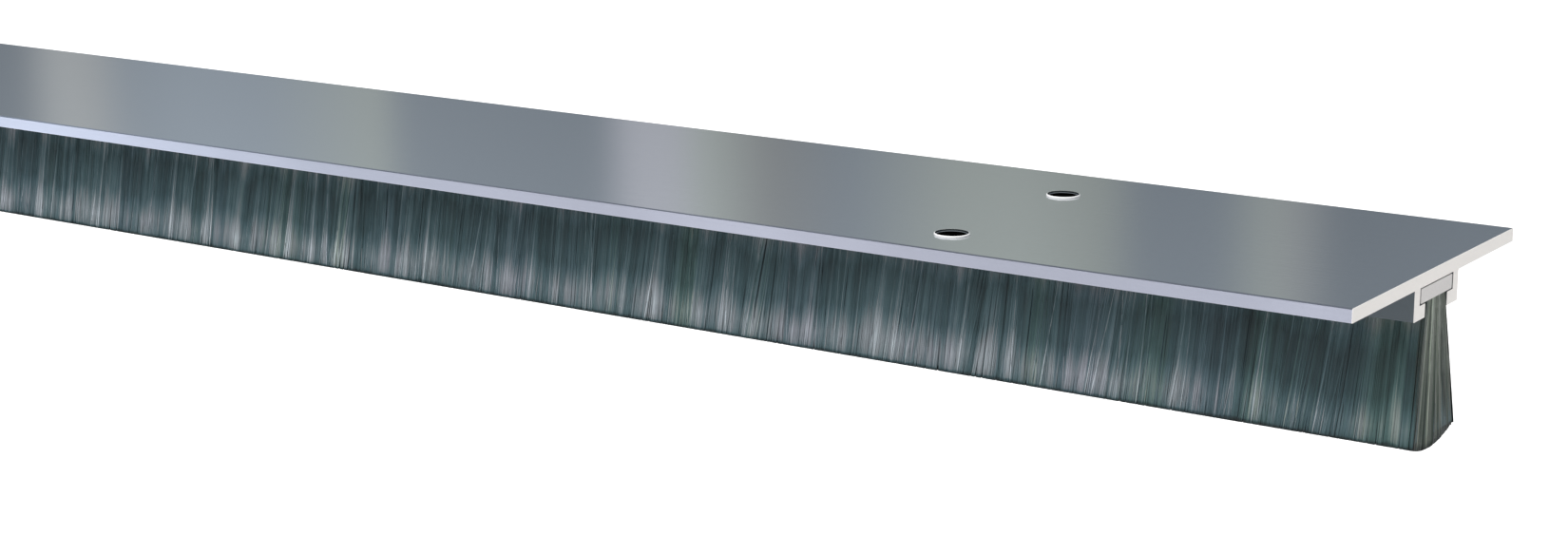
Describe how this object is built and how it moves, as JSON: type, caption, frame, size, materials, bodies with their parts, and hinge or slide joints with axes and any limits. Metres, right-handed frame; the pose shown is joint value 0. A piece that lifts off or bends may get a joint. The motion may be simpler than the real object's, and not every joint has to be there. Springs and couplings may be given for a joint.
{
  "type": "door brush seal",
  "caption": "Straight brush seal for a door: an aluminium holder with a flat screw-on plate and a channel under it, carrying a slide-in bar of dark bristles that fan out to rounded tips.",
  "frame": {"origin": "middle of the plate's top face, which lies against the door", "axes": "+X along the strip, towards the end that is near in the picture; +Y across it, towards the rear edge; +Z out of the mounting face, so the bristles point along -Z"},
  "size_m": [1, 0.06, 0.0265],
  "materials": {
    "holder_aluminium": "satin, as extruded, with sawn ends",
    "backing_plastic": "matt, pale grey",
    "bristle_filament": "dark filaments with a soft sheen"
  },
  "bodies": {
    "root": {"holder_profile": "holder_aluminium", "brush_backing": "backing_plastic", "bristles": "bristle_filament"}
  },
  "joints": []
}
